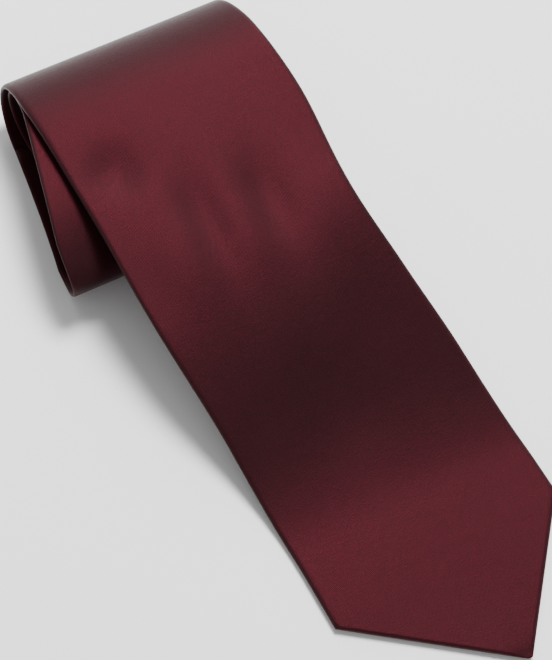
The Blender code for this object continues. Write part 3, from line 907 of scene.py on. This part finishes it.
lining_rows = [r for r in blade_rows if r.y > POINT[1] + LINING_FROM_POINT] + fold_rows
lining_tip_cut = next(i for i, r in enumerate(lining_rows) if r.y == TIP_BORDER)
lining_fold_cut = next(i for i, r in enumerate(lining_rows) if r.y == FOLD_BORDER)
inner = cloth(["lining_tip", "lining_middle", "lining_fold"],
              lining_of, lining_rows, (lining_tip_cut, lining_fold_cut))
for piece, nodes, low, high in (
        (inner[0], ("interlining_tip",), 0, lining_tip_cut),
        (inner[1], ("interlining_middle", "interlining_upper"), lining_tip_cut, lining_fold_cut),
        (inner[2], ("interlining_fold",), lining_fold_cut, len(lining_rows) - 1)):
    dress(piece, LINING, "interlining", *nodes)
    declare(lining_rows[low:high + 1], single_width)
bend_tip(inner[0])
bend_flex(inner[1])
bend_fold(inner[2])


# ---- the wound lengths ----------------------------------------------------------------------------
JOIN_SLANT = 0.8                  # the joins run diagonally across the strip
JOIN_GAP = 0.15 * MM
JOIN_ROOM = 22 * MM
TAIL_CLEAR = 4 * MM               # between the tail's point and the fold before it
TAIL_OPEN = 5.0 * MM              # how far its flaps part at the point
TAIL_STEP = 5 * MM
TAIL_POINT_STEP = 2 * MM
wound_rows = whole_line[fold_last:]
middle_y = (FOLD_1_Y + FOLD_2_Y) / 2


def crossing(rows, layer):
    """The first row of a layer's straight that is past the middle."""
    seen = 0
    for i in range(1, len(rows)):
        if (rows[i - 1].y - middle_y) * (rows[i].y - middle_y) <= 0 and rows[i].y != rows[i - 1].y:
            seen += 1
            if seen == layer - 1:
                return i
    return None


def cut_end(row, shift):
    """A diagonal end of a length, in the middle of this row's layer."""
    return Row(middle_y + shift, row.z, row.normal, row.left, row.right, row.half, row.along,
               skew=JOIN_SLANT, lift=0.0)


def cut_at(rows, layer):
    """Index of the row after a join, and the two diagonal ends that meet at it."""
    i = crossing(rows, layer)
    way = 1.0 if rows[i].y > rows[i - 1].y else -1.0
    return i, cut_end(rows[i], -way * JOIN_GAP), cut_end(rows[i], way * JOIN_GAP)


def beside(row, end):
    """True for a row of the same layer that the diagonal end would cross."""
    return row.z == end.z and abs(row.y - end.y) < JOIN_ROOM


def lengths(rows):
    """The three sewn lengths of the winding, parted by diagonal joins."""
    i, end_1, start_2 = cut_at(rows, JOIN_1_LAYER)
    j, end_2, start_3 = cut_at(rows, JOIN_2_LAYER)
    first = [r for r in rows[:i] if not beside(r, end_1)] + [end_1]
    second = ([start_2] + [r for r in rows[i:j] if not beside(r, start_2) and not beside(r, end_2)]
              + [end_2])
    third = [start_3] + [r for r in rows[j:] if not beside(r, start_3)]
    return first, second, third


wound_1, wound_2, wound_3 = lengths(wound_rows)
last_row = wound_3[-1]
tail_way = 1.0 if last_row.y < middle_y else -1.0
tail_end = FOLD_1_Y - TAIL_CLEAR if tail_way > 0 else FOLD_2_Y + TAIL_CLEAR
tail_corner = tail_end - tail_way * TAIL_POINT
tail_middle = (last_row.right + last_row.left) / 2


def tail_rows():
    """Rows from the end of the winding to the tail blade's point."""
    out = []
    ys = (steps_between(last_row.y, tail_corner, TAIL_STEP)[1:]
          + steps_between(tail_corner, tail_end, TAIL_POINT_STEP)[1:])
    for y in ys:
        share = min(1.0, max(0.03, (tail_end - y) / (tail_end - tail_corner)))
        half_width = (last_row.right - last_row.left) / 2 * share
        open_by = TAIL_OPEN * ease(abs(y - tail_corner) / (8 * MM)) if share < 1.0 else 0.0
        flaps = (tail_middle - SLIT / 2 - open_by, tail_middle + SLIT / 2 + open_by)
        out.append(Row(y, last_row.z, last_row.normal, tail_middle - half_width,
                       tail_middle + half_width, WOUND_HALF, last_row.along + abs(y - last_row.y),
                       flaps=flaps, lift=0.0))
    return out


wound_3 += tail_rows()


def wound_satin(rows):
    return envelope(rows, 26, 7)


for name, rows, node in (("front_satin_wound", wound_1, "front_blade_satin_wound"),
                         ("neck_satin_wound", wound_2, "neck_satin"),
                         ("tail_satin_wound", wound_3, "tail_blade_satin")):
    piece, = cloth([name], wound_satin, rows, ())
    dress(piece, SATIN, "satin", node)
    declare(rows)
    on_winding(piece)


def wound_lining(rows):
    return slab(rows, WOUND_HALF * 1.6, -0.30 * MM, 0.30 * MM, 10)


meet = crossing(wound_rows, JOIN_1_LAYER + 1)
tail_lining = wound_rows[meet:] + [r for r in wound_3 if r.along > last_row.along
                                   and abs(r.y - tail_end) > 12 * MM]
for name, rows, node in (("lining_wound", wound_rows[:meet], "interlining_wound"),
                         ("lining_tail", tail_lining, "interlining_tail")):
    piece, = cloth([name], wound_lining, rows, ())
    dress(piece, LINING, "interlining", node)
    declare(rows, single_width)
    on_winding(piece)


# ---- seam, tacks and labels on the back ---------------------------------------------------------
def stitch(row, x, reach, depth, slant):
    """One slanted slip stitch across the back seam."""
    out = []
    for t in (-1.0, -0.55, 0.0, 0.55, 1.0):
        p = row.at(x + t * reach, depth + 0.10 * MM * abs(t))
        p.y += slant * t
        out.append(p)
    return out


def seam_stitches(low, high, step):
    paths = []
    for y in steps_between(low, high, step):
        paths.append(stitch(blade_row(y, y), seam_x(y), 1.1 * MM, -BLADE_HALF - 0.10 * MM,
                            0.7 * MM))
    return paths


def slip_stitches():
    paths = seam_stitches(V_TOP_Y + 6 * MM, FOLD_BORDER, 4.2 * MM)
    piece = threads("slip_stitches_front", paths, THREAD_RADIUS)
    dress(piece, THREAD, "thread", "slip_stitch_upper", "slip_stitch_middle")
    bend_flex(piece)
    paths = []
    for row in wound_1[2:-1:2]:
        middle = (row.flaps[0] + row.flaps[1]) / 2
        paths.append(stitch(row, middle, 0.9 * MM, -WOUND_HALF - 0.02 * MM, 0.4 * MM))
    piece = threads("slip_stitches_wound", paths, WOUND_THREAD)
    dress(piece, THREAD, "thread", "slip_stitch_wound")
    on_winding(piece)


TACK_Y = V_TOP_Y + 2.2 * MM
TACK_LONG = 7 * MM
TACK_SPACING = 0.24 * MM
SLACK_HALF = 3.0 * MM             # half the slack loop's width
SLACK_LONG = 17.5 * MM            # and how far it hangs below the tack


def front_tack():
    """Seven threads side by side across the parting of the flaps."""
    row = blade_row(TACK_Y, TACK_Y)
    paths = []
    for k in range(7):
        shift = (k - 3) * TACK_SPACING
        path = []
        for i in range(9):
            t = i / 8
            p = row.at(seam_x(TACK_Y) + (t - 0.5) * TACK_LONG,
                       -BLADE_HALF - 0.28 * MM * math.sin(math.pi * t) + 0.02 * MM)
            p.y += shift + 0.05 * MM * math.sin(9 * t + k)
            path.append(p)
        paths.append(path)
    piece = threads("bar_tack_front", paths, THREAD_RADIUS)
    dress(piece, THREAD, "thread", "front_bar_tack")
    on_tip(piece)


def slack_loop():
    slack = []
    for i in range(33):
        t = i / 32
        a = math.pi * t
        y = TACK_Y - 1.2 * MM - SLACK_LONG * math.sin(a) ** 0.8
        x = seam_x(TACK_Y) - SLACK_HALF * math.cos(a) * (0.35 + 0.65 * math.sin(a))
        slack.append(blade_row(y, y).at(x, -BLADE_HALF - 0.12 * MM + 0.08 * MM * math.sin(a)))
    piece = threads("slack_thread", [slack], THREAD_RADIUS, 8)
    dress(piece, THREAD, "thread", "slack_thread_loop")
    on_tip(piece)


TIPPING_UNDER = 1.2 * MM          # the tipping runs this far under the flaps
TIPPING_FROM_POINT = 10 * MM
TIPPING_GAP = 0.08 * MM           # between the satin's inner side and the tipping
TIPPING_THICK = 0.18 * MM


def tip_left(y):
    return blade_flaps(y, left_edge(y), right_edge(y))[0] - TIPPING_UNDER


def tip_right(y):
    return blade_flaps(y, left_edge(y), right_edge(y))[1] + TIPPING_UNDER


def inside(x, y):
    return -BLADE_HALF + CLOTH + TIPPING_GAP


def inside_top(x, y):
    return inside(x, y) + TIPPING_THICK


def front_tipping():
    ys = steps_between(V_TOP_Y - 1 * MM, POINT[1] + TIPPING_FROM_POINT, 3 * MM)
    piece = patch("tipping_front", ys, tip_left, tip_right, inside, inside_top, 24)
    dress(piece, TIPPING, "tipping", "front_tipping")
    on_tip(piece)


def on_back(away, thick):
    """Depth functions of a patch lying this far behind the back."""
    def outer(x, y):
        return -BLADE_HALF - away - thick

    def inner(x, y):
        return -BLADE_HALF - away
    return outer, inner


def label_patch(name, middle_x, middle_y, size, away, thick, columns):
    outer, inner = on_back(away, thick)
    ys = steps_between(middle_y - size[1] / 2, middle_y + size[1] / 2, 1.5 * MM)
    return patch(name, ys, lambda y: middle_x - size[0] / 2, lambda y: middle_x + size[0] / 2,
                 outer, inner, columns)


CARE_Y = -0.0750
CARE_ASIDE = 14.0 * MM
CARE_SIZE = (0.013, 0.017)
LABEL_Y = 0.0915
LABEL_SIZE = (0.052, 0.024)
LABEL_STITCH_X = 24.5 * MM        # the end stitches' distance from the label's middle
LABEL_STITCH_Y = 10.6 * MM


def care_label():
    piece = label_patch("care_label_cloth", seam_x(CARE_Y) - CARE_ASIDE, CARE_Y, CARE_SIZE,
                        0.02 * MM, 0.16 * MM, 10)
    dress(piece, PALE_LABEL, "pale_label", "care_label")
    on_tip(piece)


def blank_label():
    piece = label_patch("blank_label_cloth", seam_x(LABEL_Y), LABEL_Y, LABEL_SIZE,
                        0.03 * MM, 0.24 * MM, 30)
    dress(piece, DARK_LABEL, "dark_label", "blank_label")
    on_upper(piece)


def label_stitches(label, sign):
    x = seam_x(LABEL_Y) + sign * LABEL_STITCH_X
    paths = []
    for y in steps_between(LABEL_Y - LABEL_STITCH_Y, LABEL_Y + LABEL_STITCH_Y, 2.1 * MM):
        path = []
        for t in (-1.0, -0.5, 0.0, 0.5, 1.0):
            here = y + t * 0.72 * MM
            path.append(blade_row(here, here).at(x, -BLADE_HALF - 0.36 * MM + 0.14 * MM * abs(t)))
        paths.append(path)
    piece = threads("label_stitches_" + label, paths, FINE_THREAD)
    dress(piece, THREAD, "thread", "label_stitch_" + label)
    on_upper(piece)


KEEPER_Y = 0.0700
KEEPER_SIZE = (0.062, 0.012)
KEEPER_GAP = 0.06 * MM
KEEPER_THICK = 0.42 * MM
KEEPER_BOW = 0.20 * MM            # how far its middle stands off the blade


def keeper_inner(x, y):
    t = abs(x - seam_x(KEEPER_Y)) / (KEEPER_SIZE[0] / 2)
    return -BLADE_HALF - KEEPER_GAP - KEEPER_BOW * ease((1.0 - t) / 0.30)


def keeper_outer(x, y):
    return keeper_inner(x, y) - KEEPER_THICK


def keeper_loop():
    half = KEEPER_SIZE[0] / 2
    middle = seam_x(KEEPER_Y)
    ys = steps_between(KEEPER_Y - KEEPER_SIZE[1] / 2, KEEPER_Y + KEEPER_SIZE[1] / 2, 1.0 * MM)
    piece = patch("keeper_loop_satin", ys, lambda y: middle - half, lambda y: middle + half,
                  keeper_outer, keeper_inner, 44)
    dress(piece, SATIN_BACK, "satin_back", "keeper_loop")
    on_upper(piece)


def keeper_stitches(label, sign):
    paths = []
    for k in range(3):
        x = seam_x(KEEPER_Y) + sign * (KEEPER_SIZE[0] / 2 - (1.6 + 0.42 * k) * MM)
        path = []
        for i in range(9):
            t = i / 8
            y = KEEPER_Y + (t - 0.5) * 10.0 * MM
            path.append(blade_row(y, y).at(x, -BLADE_HALF - 0.58 * MM
                                           - 0.14 * MM * math.sin(math.pi * t)))
        paths.append(path)
    piece = threads("keeper_stitches_" + label, paths, THREAD_RADIUS)
    dress(piece, THREAD, "thread", "keeper_tack_" + label)
    on_upper(piece)


TAIL_TIPPING_TRIM = 2.2 * WOUND_HALF
TAIL_TACK_LONG = 6 * MM


def tail_patch(rows):
    inner = -WOUND_HALF + CLOTH
    return slab(rows, 0.0, inner + 0.02 * MM, inner + 0.10 * MM, 6, TAIL_TIPPING_TRIM)


def tail_tipping():
    """Closed in by the winding, as the tail's bar tack is."""
    rows = [r for r in wound_3 if r.along > last_row.along
            and 1 * MM < tail_way * (r.y - tail_corner) < 12 * MM]
    piece, = cloth(["tipping_tail"], tail_patch, rows, ())
    dress(piece, TIPPING, "tipping", "tail_tipping")
    declare(rows, lambda row: single_width(row) - 2 * TAIL_TIPPING_TRIM)
    on_winding(piece)


def tail_tack():
    at = min(wound_3, key=lambda r: abs(r.y - (tail_corner - tail_way * 4 * MM))
             + (0 if r.along > last_row.along - 0.02 else 1))
    paths = []
    for k in range(4):
        path = []
        for i in range(7):
            t = i / 6
            p = at.at(tail_middle + (t - 0.5) * TAIL_TACK_LONG,
                      -WOUND_HALF - 0.12 * MM * math.sin(math.pi * t))
            p.y += (k - 1.5) * TACK_SPACING
            path.append(p)
        paths.append(path)
    piece = threads("bar_tack_tail", paths, FINE_THREAD)
    dress(piece, THREAD, "thread", "tail_bar_tack")
    on_winding(piece)


slip_stitches()
front_tack()
slack_loop()
front_tipping()
care_label()
blank_label()
label_stitches("left", -1.0)
label_stitches("right", 1.0)
keeper_loop()
keeper_stitches("left", -1.0)
keeper_stitches("right", 1.0)
tail_tipping()
tail_tack()


# ---- floor, lights and camera ---------------------------------------------------------------------
FLOOR_SIZE = 6.0
FLOOR_DROP = 0.0002
LIGHT_AIM = (0.01, 0.02, 0.0)
WORLD_LIGHT = 0.50
TARGET = Vector((0.001357, 0.012275, 0.0))
AHEAD = Vector((0.7218, 0.6921, 0.0))     # level direction the camera faces
SIDE = Vector((0.6921, -0.7218, 0.0))
TILT = math.radians(24)                   # from straight down
ROLL = math.radians(20)
DISTANCE = 1.10
LENS = 211.6


def floor():
    mesh = bpy.data.meshes.new("floor")
    far = FLOOR_SIZE
    mesh.from_pydata([(-far, -far, 0), (far, -far, 0), (far, far, 0), (-far, far, 0)], [],
                     [(0, 1, 2, 3)])
    obj = add_object("floor", mesh)
    obj.location.z = -FLOOR_DROP
    mesh.materials.append(floor_material())


def softbox(name, place, width, height, power):
    data = bpy.data.lights.new(name, "AREA")
    data.shape = "RECTANGLE"
    data.size = width
    data.size_y = height
    data.energy = power
    obj = add_object(name, data)
    obj.location = place
    obj.rotation_mode = "QUATERNION"
    obj.rotation_quaternion = (Vector(LIGHT_AIM) - Vector(place)).to_track_quat("-Z", "Y")


def studio():
    world = bpy.data.worlds.new("studio")
    world.use_nodes = True
    background = world.node_tree.nodes["Background"]
    background.inputs["Color"].default_value = (1.0, 1.0, 1.0, 1.0)
    background.inputs["Strength"].default_value = WORLD_LIGHT
    bpy.context.scene.world = world
    softbox("back softbox", (0.35, 1.30, 0.60), 1.4, 0.7, 9.0)
    softbox("top softbox", (0.58, 0.74, 1.60), 0.66, 0.66, 74.0)


def camera():
    upward = Vector((0.0, 0.0, 1.0))
    look = math.sin(TILT) * AHEAD - math.cos(TILT) * upward
    up = math.cos(TILT) * AHEAD + math.sin(TILT) * upward
    right = math.cos(ROLL) * SIDE + math.sin(ROLL) * up
    up = -math.sin(ROLL) * SIDE + math.cos(ROLL) * up
    data = bpy.data.cameras.new("camera")
    data.lens = LENS
    data.sensor_width = 36.0
    data.sensor_fit = "HORIZONTAL"
    obj = add_object("camera", data)
    turn = Matrix((right, up, -look)).transposed().to_4x4()
    obj.matrix_world = Matrix.Translation(TARGET - DISTANCE * look) @ turn
    bpy.context.scene.camera = obj


floor()
studio()
camera()
